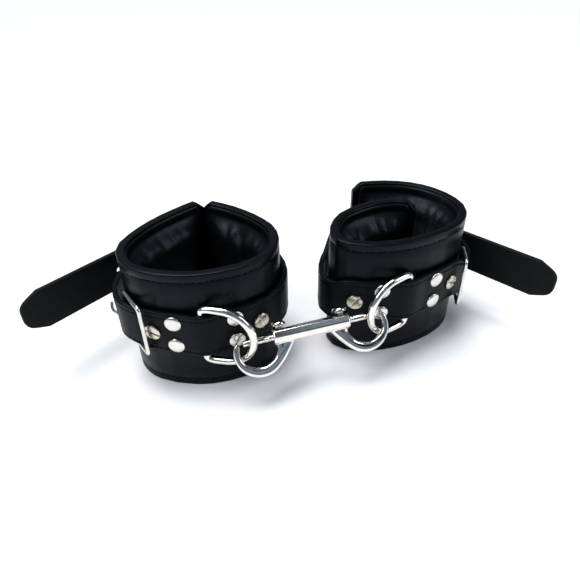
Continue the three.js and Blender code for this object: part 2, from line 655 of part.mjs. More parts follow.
function buildSnap(group) {
  const snap = new THREE.Group();
  snap.position.set(0, SNAP_Y, SNAP_Z);
  snap.rotation.set(SNAP_TILT, SNAP_LEAN, 0, "YXZ");
  addMesh(snap, "snap_body", snapBody(), chrome());
  for (const [name, end] of [["left", -1], ["right", 1]]) {
    addMesh(snap, `${name}_plunger`, plunger(end), chrome());
    addMesh(snap, `${name}_thumb_tab`, thumbTab(end), chrome());
    addMesh(snap, `${name}_plunger_spring`, snapSpring(end), springSteel());
  }
  group.add(snap);
}

const assembly = new THREE.Group();
buildCuff(assembly, LEFT);
buildCuff(assembly, RIGHT);
buildSnap(assembly);
assembly.position.set(-FOOTPRINT_CENTRE.x, -FOOTPRINT_CENTRE.y, 0);

export default assembly;
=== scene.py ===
import json
import math

import bmesh
import bpy
import numpy as np
from mathutils import Matrix, Vector


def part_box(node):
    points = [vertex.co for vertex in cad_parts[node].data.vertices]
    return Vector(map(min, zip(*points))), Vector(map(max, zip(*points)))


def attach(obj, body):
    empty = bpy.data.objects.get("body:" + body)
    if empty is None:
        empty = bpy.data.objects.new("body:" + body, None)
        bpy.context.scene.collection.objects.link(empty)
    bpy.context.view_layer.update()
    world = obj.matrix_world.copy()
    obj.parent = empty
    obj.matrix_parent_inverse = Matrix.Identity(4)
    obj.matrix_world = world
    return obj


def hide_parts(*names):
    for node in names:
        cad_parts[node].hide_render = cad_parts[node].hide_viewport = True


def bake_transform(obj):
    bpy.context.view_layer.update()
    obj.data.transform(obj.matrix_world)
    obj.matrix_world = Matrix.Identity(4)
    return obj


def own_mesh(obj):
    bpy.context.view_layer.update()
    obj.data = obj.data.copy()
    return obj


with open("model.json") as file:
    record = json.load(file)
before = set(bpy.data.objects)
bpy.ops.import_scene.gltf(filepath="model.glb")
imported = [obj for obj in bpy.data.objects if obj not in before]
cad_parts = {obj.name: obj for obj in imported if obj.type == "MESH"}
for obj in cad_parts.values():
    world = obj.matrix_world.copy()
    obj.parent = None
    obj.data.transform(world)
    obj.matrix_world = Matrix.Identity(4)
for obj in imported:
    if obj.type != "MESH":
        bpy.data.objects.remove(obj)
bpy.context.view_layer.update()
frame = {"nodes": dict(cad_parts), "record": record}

MM = 0.001
SIDES = {"left": -1, "right": 1}
joints = {j["name"]: j for j in frame["record"]["behaviour"]["joints"]}

# ---- Camera, floor and light ----

CAMERA_AT = Vector((-0.0656, -0.2257, 0.2007))
CAMERA_HEADING = math.atan2(0.2840, 0.9588)  # clockwise from +Y, seen from above
CAMERA_PITCH = math.radians(36.42)
CAMERA_ROLL = math.radians(-1.02)


def make_camera():
    data = bpy.data.cameras.new("camera")
    data.lens = 31.84
    data.sensor_width = 36
    data.clip_start = 0.01
    camera = add_object("camera", data, None, False)
    ahead = Vector((math.sin(CAMERA_HEADING), math.cos(CAMERA_HEADING), 0)) * math.cos(CAMERA_PITCH)
    ahead.z = -math.sin(CAMERA_PITCH)
    right = ahead.cross(Vector((0, 0, 1))).normalized()
    up = right.cross(ahead)
    turned_right = right * math.cos(CAMERA_ROLL) + up * math.sin(CAMERA_ROLL)
    turned_up = -right * math.sin(CAMERA_ROLL) + up * math.cos(CAMERA_ROLL)
    basis = Matrix((turned_right, turned_up, -ahead)).transposed().to_4x4()
    camera.matrix_world = Matrix.Translation(CAMERA_AT) @ basis
    bpy.context.scene.camera = camera


def area_light(name, at, aim, size, power, colour=(1, 1, 1)):
    data = bpy.data.lights.new(name, "AREA")
    data.shape = "RECTANGLE"
    data.size, data.size_y = size
    data.energy = power
    data.color = colour
    lamp = add_object(name, data, None, False)
    lamp.location = at
    lamp.rotation_euler = (Vector(aim) - Vector(at)).to_track_quat("-Z", "Y").to_euler()


# ---- Small helpers ----


def add_object(name, mesh, material=None, smooth=True):
    obj = bpy.data.objects.new(name, mesh)
    bpy.context.scene.collection.objects.link(obj)
    if material:
        mesh.materials.append(material)
    if smooth:
        mesh.shade_smooth()
    return obj


def mesh_from(name, points, faces):
    mesh = bpy.data.meshes.new(name)
    mesh.from_pydata([tuple(p) for p in points], [], faces)
    mesh.update()
    work = bmesh.new()
    work.from_mesh(mesh)
    bmesh.ops.recalc_face_normals(work, faces=work.faces)
    work.to_mesh(mesh)
    work.free()
    return mesh


def apply_modifiers(obj):
    graph = bpy.context.evaluated_depsgraph_get()
    made = bpy.data.meshes.new_from_object(obj.evaluated_get(graph), depsgraph=graph)
    obj.modifiers.clear()
    old = obj.data
    obj.data = made
    bpy.data.meshes.remove(old)


def boolean(obj, other, operation="DIFFERENCE"):
    step = obj.modifiers.new("cut", "BOOLEAN")
    step.object = other
    step.operation = operation
    step.solver = "EXACT"
    apply_modifiers(obj)
    bpy.data.objects.remove(other)


def seat(piece, body, slot, *nodes):
    """Puts a piece on its body and hides the CAD nodes that it stands for; the slot it is given is not used.
    """
    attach(piece, body)
    if nodes:
        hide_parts(*nodes)


def skin(rings, sides, closed=False):
    """Faces over a row of equal rings of points, capped unless the row closes on itself."""
    faces = []
    for r in range(rings if closed else rings - 1):
        a, b = r * sides, (r + 1) % rings * sides
        faces += [(a + k, a + (k + 1) % sides, b + (k + 1) % sides, b + k) for k in range(sides)]
    if not closed:
        faces.append(tuple(range(sides)))
        faces.append(tuple((rings - 1) * sides + k for k in reversed(range(sides))))
    return faces


def cube(name, matrix):
    """A unit cube carried by a matrix, to cut with."""
    mesh = bpy.data.meshes.new(name)
    work = bmesh.new()
    bmesh.ops.create_cube(work, size=1)
    bmesh.ops.transform(work, matrix=matrix, verts=work.verts)
    work.to_mesh(mesh)
    work.free()
    return add_object(name, mesh, None, False)


def between(p, q, low, high, u):
    """The point at u on the line from p, at low, to q, at high."""
    return p * ((high - u) / (high - low)) + q * ((u - low) / (high - low))


def curve_point(p, t, u):
    """The point at u on a smooth curve through four knots p that lie at t."""
    a = [between(p[k], p[k + 1], t[k], t[k + 1], u) for k in range(3)]
    b = [between(a[k], a[k + 1], t[k], t[k + 2], u) for k in range(2)]
    return between(b[0], b[1], t[1], t[2], u)


# ---- Plan paths, read from the CAD solids ----


def section_loop(node, height):
    """The longest closed outline of a CAD node cut level at a height, as plan points."""
    mesh = frame["nodes"][node].data
    mesh.calc_loop_triangles()
    co = np.array([v.co for v in mesh.vertices])
    links = {}
    places = {}

    def key(a, b):
        share = (height - a[2]) / (b[2] - a[2])
        point = a + (b - a) * share
        name = (round(point[0] * 1e6 / 4), round(point[1] * 1e6 / 4))
        places[name] = point[:2]
        return name

    for tri in mesh.loop_triangles:
        corners = [co[i] for i in tri.vertices]
        ends = [
            key(corners[i], corners[(i + 1) % 3])
            for i in range(3)
            if (corners[i][2] - height) * (corners[(i + 1) % 3][2] - height) < 0
        ]
        if len(ends) == 2 and ends[0] != ends[1]:
            links.setdefault(ends[0], set()).add(ends[1])
            links.setdefault(ends[1], set()).add(ends[0])
    best, unseen = [], set(links)
    while unseen:
        start = min(unseen)
        chain, here = [start], start
        unseen.discard(start)
        while True:
            onward = [n for n in links[here] if n in unseen]
            if not onward:
                break
            here = min(onward)
            unseen.discard(here)
            chain.append(here)
        if len(chain) > len(best):
            best = chain
    return np.array([places[n] for n in best])


def tidy_line(points, least=0.0006):
    """Drops points that lie closer together than the least distance, keeping both ends."""
    kept = [points[0]]
    for point in points[1:-1]:
        if np.linalg.norm(point - kept[-1]) > least and np.linalg.norm(point - points[-1]) > least:
            kept.append(point)
    kept.append(points[-1])
    return np.array(kept)


def faces_of(loop):
    """Splits the outline of a bent strip at its four square corners into its two long faces."""
    count = len(loop)
    turns = []
    for i in range(count):
        before = loop[i] - loop[i - 1]
        after = loop[(i + 1) % count] - loop[i]
        cross = before[0] * after[1] - before[1] * after[0]
        turns.append(abs(math.atan2(cross, float(before @ after))))
    corners = sorted(sorted(range(count), key=lambda i: -turns[i])[:4])
    chains = []
    for a, b in zip(corners, corners[1:] + [corners[0] + count]):
        chains.append(np.array([loop[i % count] for i in range(a, b + 1)]))
    lengths = [np.linalg.norm(np.diff(c, axis=0), axis=1).sum() for c in chains]
    order = sorted(range(4), key=lambda i: -lengths[i])[:2]
    return [chains[i] for i in order]


class Path:
    """A smooth plan curve through points, measured along its length, with a normal on one side."""

    def __init__(self, points, start_near, side):
        points = tidy_line(np.asarray(points, float))
        if np.linalg.norm(points[0] - start_near) > np.linalg.norm(points[-1] - start_near):
            points = points[::-1]
        first = points[0] * 2 - points[1]
        last = points[-1] * 2 - points[-2]
        knots = np.vstack([first, points, last])
        dense = []
        for i in range(1, len(knots) - 2):
            p = knots[i - 1:i + 3]
            t = np.concatenate([[0], np.cumsum(np.sqrt(np.linalg.norm(np.diff(p, axis=0), axis=1)))])
            for u in np.linspace(t[1], t[2], 24, endpoint=False):
                dense.append(curve_point(p, t, u))
        dense.append(points[-1])
        self.points = np.array(dense)
        steps = np.linalg.norm(np.diff(self.points, axis=0), axis=1)
        self.along = np.concatenate([[0], np.cumsum(steps)])
        self.length = float(self.along[-1])
        self.side = side

    def at(self, distance):
        inside = min(max(distance, 0.0), self.length)
        here = np.array([np.interp(inside, self.along, self.points[:, k]) for k in range(2)])
        reach = 0.0009
        low, high = max(inside - reach, 0.0), min(inside + reach, self.length)
        tangent = np.array([
            np.interp(high, self.along, self.points[:, k]) - np.interp(low, self.along, self.points[:, k])
            for k in range(2)
        ])
        tangent /= np.linalg.norm(tangent)
        here = here + tangent * (distance - inside)
        return here, np.array([tangent[1], -tangent[0]]) * self.side

    def nearest(self, point):
        gaps = np.linalg.norm(self.points - np.asarray(point)[:2], axis=1)
        return float(self.along[int(gaps.argmin())])

    def place(self, distance, offset, z):
        here, normal = self.at(distance)
        spot = here + normal * offset
        return (float(spot[0]), float(spot[1]), float(z))


def sweep(name, path, marks, section, material):
    """A closed section of (offset, z) points carried along the path."""
    points = []
    rings = [section(s) for s in marks]
    for s, ring in zip(marks, rings):
        here, normal = path.at(s)
        for offset, z in ring:
            spot = here + normal * offset
            points.append((spot[0], spot[1], z))
    return add_object(name, mesh_from(name, points, skin(len(marks), len(rings[0]))), material)


def tube(name, centres, across, up_of, material, sides=20, closed=True):
    """A wire with half sizes across = (a, b) along centre points; up_of is the flat face's normal."""
    points = []
    count = len(centres)
    for i, centre in enumerate(centres):
        if closed:
            tangent = (centres[(i + 1) % count] - centres[i - 1]).normalized()
        else:
            tangent = (centres[min(i + 1, count - 1)] - centres[max(i - 1, 0)]).normalized()
        flat = (up_of - tangent * up_of.dot(tangent)).normalized()
        other = tangent.cross(flat)
        for k in range(sides):
            turn = 2 * math.pi * k / sides
            points.append(centre + flat * across[0] * math.cos(turn) + other * across[1] * math.sin(turn))
    return add_object(name, mesh_from(name, points, skin(count, sides, closed)), material)


def lathe(name, profile, at, axis, material, sides=48):
    """A turned piece from (along, radius) points about an axis."""
    axis = Vector(axis).normalized()
    flat = axis.orthogonal().normalized()
    other = axis.cross(flat)
    points, faces, rings = [], [], []
    for along, radius in profile:
        base = Vector(at) + axis * along
        if radius < 1e-7:
            rings.append([len(points)])
            points.append(base)
            continue
        ring = []
        for k in range(sides):
            turn = 2 * math.pi * k / sides
            ring.append(len(points))
            points.append(base + (flat * math.cos(turn) + other * math.sin(turn)) * radius)
        rings.append(ring)
    for a, b in zip(rings, rings[1:]):
        for k in range(sides):
            m = (k + 1) % sides
            corners = [a[k % len(a)], a[m % len(a)], b[m % len(b)], b[k % len(b)]]
            unique = list(dict.fromkeys(corners))
            if len(unique) > 2:
                faces.append(tuple(unique))
    return add_object(name, mesh_from(name, points, faces), material)


def rounded(low, high, radius, steps):
    """Corner points of a rounded rectangle, counter-clockwise, from (u, v) low to high."""
    points = []
    centres = [(high[0] - radius, high[1] - radius), (low[0] + radius, high[1] - radius),
               (low[0] + radius, low[1] + radius), (high[0] - radius, low[1] + radius)]
    for i, (u, v) in enumerate(centres):
        for k in range(steps + 1):
            turn = math.pi / 2 * (i + k / steps)
            points.append((u + radius * math.cos(turn), v + radius * math.sin(turn)))
    return points


def level(direction):
    return Vector((direction[0], direction[1], 0))


def steps_between(start, end, step):
    count = max(1, math.ceil((end - start) / step))
    return [start + (end - start) * k / count for k in range(count + 1)]


def rounded_marks(start, end, step, radius):
    """Stations with extra ones near both ends, so that the ends can be rounded over."""
    eased = [radius * (1 - math.cos(math.pi / 2 * k / 4)) for k in range(5)]
    middle = steps_between(start + radius, end - radius, step)
    return [start + e for e in eased[:-1]] + middle + [end - e for e in reversed(eased[:-1])]


def end_round(near, edge):
    """How far a rounded-over end draws the section in."""
    return 0.0 if near >= edge else edge - math.sqrt(max(edge**2 - (edge - near) ** 2, 0.0))


# ---- Materials ----


def new_material(name):
    made = bpy.data.materials.new(name)
    made.use_nodes = True
    return made, made.node_tree.nodes, made.node_tree.links, made.node_tree.nodes["Principled BSDF"]


def tune(node, values):
    for name, value in values.items():
        node.inputs[name].default_value = value


def noise(nodes, links, source, scale, detail, rough=0.5):
    made = nodes.new("ShaderNodeTexNoise")
    tune(made, {"Scale": scale, "Detail": detail, "Roughness": rough})
    links.new(source, made.inputs["Vector"])
    return made.outputs["Fac"]


def bumps(nodes, links, height, strength, distance):
    made = nodes.new("ShaderNodeBump")
    tune(made, {"Strength": strength, "Distance": distance})
    links.new(height, made.inputs["Height"])
    return made


def ramp(nodes, links, source, stops):
    made = nodes.new("ShaderNodeValToRGB")
    while len(made.color_ramp.elements) < len(stops):
        made.color_ramp.elements.new(0.5)
    for element, (at, colour) in zip(made.color_ramp.elements, stops):
        element.position = at
        element.color = (*colour, 1) if len(colour) == 3 else colour
    links.new(source, made.inputs["Fac"])
    return made.outputs["Color"]


def to_range(nodes, links, source, low, high):
    made = nodes.new("ShaderNodeMapRange")
    tune(made, {"To Min": low, "To Max": high})
    links.new(source, made.inputs["Value"])
    return made.outputs["Result"]


def leather(name, dark, pale, rough, grain, grain_depth, shine, crease=0.0):
    """Finished leather: pebbled grain, faint colour variation and uneven gloss."""
    made, nodes, links, shader = new_material(name)
    place = nodes.new("ShaderNodeTexCoord").outputs["Object"]
    colour = ramp(nodes, links, noise(nodes, links, place, 90, 6), [(0.3, dark), (0.75, pale)])
    links.new(colour, shader.inputs["Base Color"])
    gloss = noise(nodes, links, place, 160, 5, 0.6)
    links.new(to_range(nodes, links, gloss, rough[0], rough[1]), shader.inputs["Roughness"])
    pebble = nodes.new("ShaderNodeTexVoronoi")
    pebble.feature = "SMOOTH_F1"
    tune(pebble, {"Scale": grain, "Smoothness": 0.8})
    links.new(place, pebble.inputs["Vector"])
    fine = bumps(nodes, links, pebble.outputs["Distance"], grain_depth, 0.00012)
    folds = noise(nodes, links, place, 70 if crease else 45, 3)
    broad = bumps(nodes, links, folds, 0.25 + crease, 0.0006)
    links.new(fine.outputs["Normal"], broad.inputs["Normal"])
    links.new(broad.outputs["Normal"], shader.inputs["Normal"])
    tune(shader, {"Specular IOR Level": shine, "Specular Tint": (0.78, 0.88, 1.0, 1)})
    return made


def metal(name, colour, rough, bump):
    """Plated metal with faint smears in its gloss and a slightly uneven surface."""
    made, nodes, links, shader = new_material(name)
    place = nodes.new("ShaderNodeTexCoord").outputs["Object"]
    tint = tuple(c * 0.86 for c in colour)
    links.new(ramp(nodes, links, noise(nodes, links, place, 260, 4), [(0.3, tint), (0.6, colour)]),
              shader.inputs["Base Color"])
    links.new(to_range(nodes, links, noise(nodes, links, place, 900, 4), rough[0], rough[1]),
              shader.inputs["Roughness"])
    dents = bumps(nodes, links, noise(nodes, links, place, 240, 2), bump, 0.0004)
    links.new(dents.outputs["Normal"], shader.inputs["Normal"])
    shader.inputs["Metallic"].default_value = 1.0
    return made


def thread_material():
    """Waxed black thread with a twist, its colour darkened in the twist's grooves as painted shade."""
    made, nodes, links, shader = new_material("thread")
    place = nodes.new("ShaderNodeTexCoord").outputs["Object"]
    wave = nodes.new("ShaderNodeTexWave")
    tune(wave, {"Scale": 900})
    links.new(place, wave.inputs["Vector"])
    # painted shade: the wave that raises the twist also darkens the colour in its grooves
    tones = [(0, (0.0006, 0.0006, 0.0008)), (1, (0.002, 0.002, 0.0025))]
    links.new(ramp(nodes, links, wave.outputs["Fac"], tones), shader.inputs["Base Color"])
    twist = bumps(nodes, links, wave.outputs["Fac"], 0.5, 0.0001)
    links.new(twist.outputs["Normal"], shader.inputs["Normal"])
    tune(shader, {"Roughness": 0.6, "Specular IOR Level": 0.06})
    return made


def floor_material():
    made, nodes, links, shader = new_material("floor")
    place = nodes.new("ShaderNodeTexCoord").outputs["Object"]
    tones = [(0, (0.86, 0.87, 0.885)), (1, (0.88, 0.885, 0.9))]
    links.new(ramp(nodes, links, noise(nodes, links, place, 3, 2), tones), shader.inputs["Base Color"])
    tune(shader, {"Roughness": 0.9, "Specular IOR Level": 0.0})
    return made


BLACK = ((0.0012, 0.0014, 0.0019), (0.0026, 0.003, 0.004))
shell_leather = leather("shell_leather", *BLACK, (0.26, 0.42), 1500, 0.2, 0.12)
belt_leather = leather("belt_leather", *BLACK, (0.33, 0.48), 1700, 0.2, 0.09)
lining_leather = leather(
    "lining_leather", (0.001, 0.0011, 0.0014), (0.0024, 0.0026, 0.0032), (0.34, 0.5), 1100, 0.6, 0.24, 0.5
)
strap_leather = leather(
    "strap_leather", (0.0026, 0.0026, 0.003), (0.0052, 0.005, 0.0052), (0.55, 0.7), 1500, 0.35, 0.14
)
chrome = metal("chrome", (0.78, 0.755, 0.71), (0.09, 0.18), 0.06)
nickel = metal("nickel", (0.70, 0.68, 0.64), (0.18, 0.3), 0.16)
screw_metal = metal("screw_nickel", (0.62, 0.585, 0.51), (0.2, 0.34), 0.2)
spring_steel = metal("spring_steel", (0.55, 0.56, 0.57), (0.25, 0.35), 0.05)
thread = thread_material()

# ---- Stitches ----


# Along the stitch, its thickness and how far it stands up, as shares of its length and radius.
STITCH = [(-0.5, 0.25, -1.0), (-0.38, 0.85, -0.35), (0, 1.0, 0.1), (0.38, 0.85, -0.35), (0.5, 0.25, -1.0)]


def stitch_line(name, spots, material, length=0.0023, radius=0.00034):
    """Raised stitches at (middle, direction, outward) spots, their ends dipping into the leather."""
    points, faces = [], []
    for middle, along, outward in spots:
        cross = along.cross(outward).normalized()
        base = len(points)
        for share, size, lift in STITCH:
            centre = middle + along * (share * length) + outward * (lift * radius)
            for k in range(8):
                turn = math.pi / 4 * k
                points.append(centre + (outward * math.cos(turn) + cross * math.sin(turn)) * radius * size)
        for r in range(4):
            low = base + r * 8
            faces += [(low + k, low + (k + 1) % 8, low + 8 + (k + 1) % 8, low + 8 + k) for k in range(8)]
        faces.append(tuple(base + k for k in reversed(range(8))))
        faces.append(tuple(base + 32 + k for k in range(8)))
    return add_object(name, mesh_from(name, points, faces), material)


def stitch_spots(path, start, end, pitch, offset, z_at, facing=1):
    """Spots along a path at a height, on the face whose offset is given."""
    count = max(1, round((end - start) / pitch))
    spots = []
    for k in range(count):
        s = start + (end - start) * (k + 0.5) / count
        a = Vector(path.place(s - 0.001, offset(s - 0.001), z_at(s - 0.001)))
        b = Vector(path.place(s + 0.001, offset(s + 0.001), z_at(s + 0.001)))
        normal = path.at(s)[1]
        spots.append(((a + b) / 2, (b - a).normalized(), level(normal) * facing))
    return spots


def upright_spots(path, s, low, high, pitch, offset):
    count = max(1, round((high - low) / pitch))
    normal = path.at(s)[1]
    return [
        (Vector(path.place(s, offset, low + (high - low) * (k + 0.5) / count)), Vector((0, 0, 1)),
         level(normal))
        for k in range(count)
    ]


# ---- Leather ----

SHELL = 4.4 * MM  # at its turned edges, where shell and lining are bonded together
SEAM = 4.4 * MM  # from the edges of a cuff body to its stitching
RIM_FRONT = 2.85 * MM  # depth of the lining's back behind the shell's outer face
RIM_BACK = 5.0 * MM  # depth of its face, where it is sewn flat
PAD = 6.2 * MM
PAD_FADE = 14 * MM
PITCH = 3.1 * MM  # from stitch to stitch
CUFF_HEIGHT = 70 * MM
CORNER_CLIP = 5 * MM


def grooved(low, high, front, back, edge, groove, at):
    """Half-section points up the outside face with a stitching groove near each end, then down the inside."""
    turns = [math.pi / 8 * k for k in range(5)]
    corner = [(edge * (1 - math.sin(a)), edge * (1 - math.cos(a))) for a in turns]
    profile = [(front - a, low + b) for a, b in corner]
    dip = [(-0.9, 0.0), (-0.45, 0.55), (0, 1.0), (0.45, 0.55), (0.9, 0.0)]
    profile += [(front - groove * depth, low + at + 0.0006 * share) for share, depth in dip]
    profile += [(front, low + (high - low) * k / 6) for k in range(1, 6)]
    profile += [(front - groove * depth, high - at + 0.0006 * share) for share, depth in dip]
    profile += [(front - a, high - b) for a, b in reversed(corner)]
    profile += [(back + a, high - b) for a, b in corner]
    profile += [(back, high + (low - high) * k / 4) for k in range(1, 4)]
    profile += [(back + a, low + b) for a, b in reversed(corner)]
    return profile


def inset_section(section, inset):
    """A section drawn in towards its middle by the same amount on every side."""
    if inset <= 0:
        return section
    us, vs = [p[0] for p in section], [p[1] for p in section]
    mid_u, mid_v = (min(us) + max(us)) / 2, (min(vs) + max(vs)) / 2
    half_u, half_v = (max(us) - min(us)) / 2, (max(vs) - min(vs)) / 2
    scale_u, scale_v = max(half_u - inset, 1e-5) / half_u, max(half_v - inset, 1e-5) / half_v
    return [(mid_u + (u - mid_u) * scale_u, mid_v + (v - mid_v) * scale_v) for u, v in section]


def make_shell(side, outer, spans):
    edge = 0.8 * MM
    marks = rounded_marks(0, outer.length, 1.6 * MM, edge)

    def section(s):
        low, high = spans(s)
        ring = grooved(low, high, 0.0, -SHELL, edge, 0.28 * MM, SEAM)
        return inset_section(ring, end_round(min(s, outer.length - s), edge))

    shell = sweep(f"{side}_shell", outer, marks, section, shell_leather)
    seat(shell, f"{side}_cuff", "shell_leather", f"{side}_cuff_shell")
    low, high = spans(outer.length / 2)
    depth = -0.2 * MM
    spots = []
    for z in (low + SEAM, high - SEAM):
        spots += stitch_spots(outer, 5 * MM, outer.length - 5 * MM, PITCH, lambda s: depth, lambda s, z=z: z)
    for s in (SEAM, outer.length - SEAM):
        spots += upright_spots(outer, s, low + 7 * MM, high - 7 * MM, PITCH, 0.0)
    sewn = stitch_line(f"{side}_shell_stitches", spots, thread)
    seat(sewn, f"{side}_cuff", "shell_leather")


def pad_height(s, z, length, low, high):
    """How far the padding stands out past the sewn rim."""
    from_end = min(s, length - s) - 5 * MM
    ends = min(max(from_end / PAD_FADE, 0), 1)
    ends = math.sin(ends * math.pi / 2)
    across = min(z - low, high - z) - 6.2 * MM
    rise = min(max(across / (11 * MM), 0), 1)
    return PAD * ends * math.sin(rise * math.pi / 2) ** 0.8


def make_lining(side, outer, spans):
    """The padded lining: a closed skin whose middle swells and creases in a cloth simulation."""
    start, end = 3 * MM, outer.length - 3 * MM
    marks = steps_between(start, end, 2.6 * MM)
    across = 27

    points, loose = [], []
    for s in marks:
        low, high = spans(s)
        low, high = low + 1.1 * MM, high - 1.1 * MM
        here, normal = outer.at(s)
        flat = -RIM_BACK - 0.1 * MM
        ring = [(-RIM_FRONT, low + 0.3 * MM), (-RIM_FRONT, (low + high) / 2), (-RIM_FRONT, high - 0.3 * MM),
                (-RIM_FRONT - 0.3 * MM, high), (-RIM_BACK + 0.7 * MM, high), (flat, high - 0.9 * MM),
                (flat, high - 2.8 * MM), (-RIM_BACK + 0.35 * MM, high - 4.2 * MM)]
        first = len(ring)
        for k in range(across):
            z = high - 5.6 * MM + (low - high + 11.2 * MM) * k / (across - 1)
            ring.append((-RIM_BACK - 0.25 * MM - 0.82 * pad_height(s, z, outer.length, low, high), z))
        last = len(ring)
        ring += [(-RIM_BACK + 0.35 * MM, low + 4.2 * MM), (flat, low + 2.8 * MM), (flat, low + 0.9 * MM),
                 (-RIM_BACK + 0.7 * MM, low), (-RIM_FRONT - 0.3 * MM, low)]
        for i, (offset, z) in enumerate(ring):
            spot = here + normal * offset
            if first + 1 < i < last - 2 and start + 6 * MM < s < end - 6 * MM:
                loose.append(len(points))
            points.append((spot[0], spot[1], z))
    faces = skin(len(marks), len(ring))
    lining = add_object(f"{side}_lining", mesh_from(f"{side}_lining", points, faces), lining_leather)
    crease_lining(lining, loose)
    soft = lining.modifiers.new("soft", "SUBSURF")
    soft.levels = soft.render_levels = 1
    apply_modifiers(lining)
    lining.data.shade_smooth()
    seat(lining, f"{side}_cuff", "lining_leather")
    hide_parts(f"{side}_cuff_lining", f"{side}_cuff_padding")
    low, high = spans(outer.length / 2)
    spots = []
    for z in (low + 4.7 * MM, high - 4.7 * MM):
        spots += stitch_spots(outer, 6 * MM, outer.length - 6 * MM, PITCH,
                              lambda s: -RIM_BACK + 0.2 * MM, lambda s, z=z: z, -1)
    sewn = stitch_line(f"{side}_lining_stitches", spots, thread)
    seat(sewn, f"{side}_cuff", "lining_leather")


def crease_lining(lining, loose):
    """Lets the loose middle of the lining swell and crumple, as leather does on the inside of a bend."""
    scene = bpy.context.scene
    rest = np.array([v.co for v in lining.data.vertices])
    scale = 10.0
    lining.data.transform(Matrix.Scale(scale, 4))
    group = lining.vertex_groups.new(name="sewn")
    loose_set = set(loose)
    group.add([i for i in range(len(rest)) if i not in loose_set], 1.0, "REPLACE")
    cloth = lining.modifiers.new("cloth", "CLOTH")
    settings = cloth.settings
    settings.vertex_group_mass = "sewn"
    settings.effector_weights.gravity = 0
    settings.use_pressure = True
    settings.uniform_pressure_force = 4
    settings.shrink_min = -0.16
    settings.shrink_max = -0.16
    settings.tension_stiffness = 40
    settings.compression_stiffness = 40
    settings.shear_stiffness = 20
    settings.bending_stiffness = 4
    settings.quality = 8
    cloth.point_cache.frame_start = 1
    cloth.point_cache.frame_end = 24
    for number in range(1, 25):
        scene.frame_set(number)
    graph = bpy.context.evaluated_depsgraph_get()
    done = lining.evaluated_get(graph)
    swollen = np.array([v.co for v in done.data.vertices]) / scale
    lining.modifiers.clear()
    scene.frame_set(1)
    move = swollen - rest
    size = np.linalg.norm(move, axis=1, keepdims=True)
    cap = 1.5 * MM
    move *= np.minimum(1, cap / np.maximum(size, 1e-9))
    for vertex, spot in zip(lining.data.vertices, rest + move):
        vertex.co = spot
    lining.data.update()


BELT = 2.8 * MM
BELT_SEAM = 2.5 * MM
BELT_PITCH = 2.7 * MM
BELT_WIDTH = 24.4 * MM
TAIL_WIDTH = 23.2 * MM
BELT_Z = 37.3 * MM
RIVET_RISE = 6.8 * MM  # of a pair's rivets from the belt's middle
TIP = 11 * MM
FIRST_HOLE = 57 * MM  # from the tip
HOLE_PITCH = 16 * MM
HOLE_COUNT = 5
HOLE = 2.15 * MM  # radius
HINGE_BACK = 64 * MM  # from the ring's bar to the line where the free strap bends
SPLIT_BACK = 5 * MM  # from that line to where the free strap's own piece begins

# Distances along a cuff are counted from its ring's bar, positive towards the buckle; in mm.
STRAPS = {
    "left": {
        "middle": 38.8,
        "rivets": [-15.4, 13],
        "screws": [-28.2, 23.8],
        "turns": [20, 75],
        "heel": 41,
        "end": 66,
        "lift": [(-64, 3.9), (-42, 3.8), (-34, 3.1), (-9, 3.1), (0, 6.6), (9, 3.1), (29, 3.1), (36.4, 6.3),
                 (45.6, 6.3), (53, 5.6), (66, 5.2)],
        "free": [(-5.5, 9.4), (-17.9, 32.5), (-30, 46.5), (-45.9, 52.1), (-65.1, 48.7), (-78.5, 41.5),
                 (-89.5, 34.5), (-127, 10.1), (-137.5, 3.3)],
    },
    "right": {
        "middle": 34.4,
        "rivets": [-14.3, 16],
        "screws": [-27, 28.2],
        "turns": [-35, 60],
        "heel": 46.5,
        "end": 72,
        "lift": [(-64, 6.6), (-50, 5.2), (-42, 4.6), (-33, 3.1), (-9, 3.1), (0, 6.6), (9, 3.1), (33, 3.1),
                 (42.5, 6.3), (50.5, 6.3), (58, 5.6), (72, 5.2)],
        "free": [(39.9, 30.1), (50.9, 39.9), (61.5, 42.9), (75.5, 39.5), (93.4, 27.1), (102.5, 12.4),
                 (109.4, -0.1), (131.5, -40.7), (137.1, -50.9)],
    },
}


def smooth(share):
    inside = min(max(share, 0.0), 1.0)
    return inside * inside * (3 - 2 * inside)


def stepped_lift(knots, away):
    if away <= knots[0][0]:
        return knots[0][1]
    for (a, low), (b, high) in zip(knots, knots[1:]):
        if away <= b:
            return low + (high - low) * smooth((away - a) / (b - a))
    return knots[-1][1]


def lift_at(strap, away):
    """How far the belt's face stands out from the cuff's, eased over a few millimetres as leather bends."""
    knots = [(a * MM, b * MM) for a, b in strap["lift"]]
    nearby = [stepped_lift(knots, away + k * 1.4 * MM) for k in range(-4, 5)]
    return sum(nearby) / len(nearby)


def strap_span(strap, away):
    """Low and high edge of the belt at a distance from the ring's bar."""
    outermost = abs(strap["screws"][0 if away < 0 else 1]) * MM + 3 * MM
    share = smooth((abs(away) - outermost) / (10 * MM))
    half = (BELT_WIDTH + (TAIL_WIDTH - BELT_WIDTH) * share) / 2
    middle = BELT_Z + (strap["middle"] * MM - BELT_Z) * share
    return middle - half, middle + half


def eased_end(end, edge):
    return [end - edge * (1 - math.sin(math.pi / 2 * k / 5)) for k in range(1, 6)]


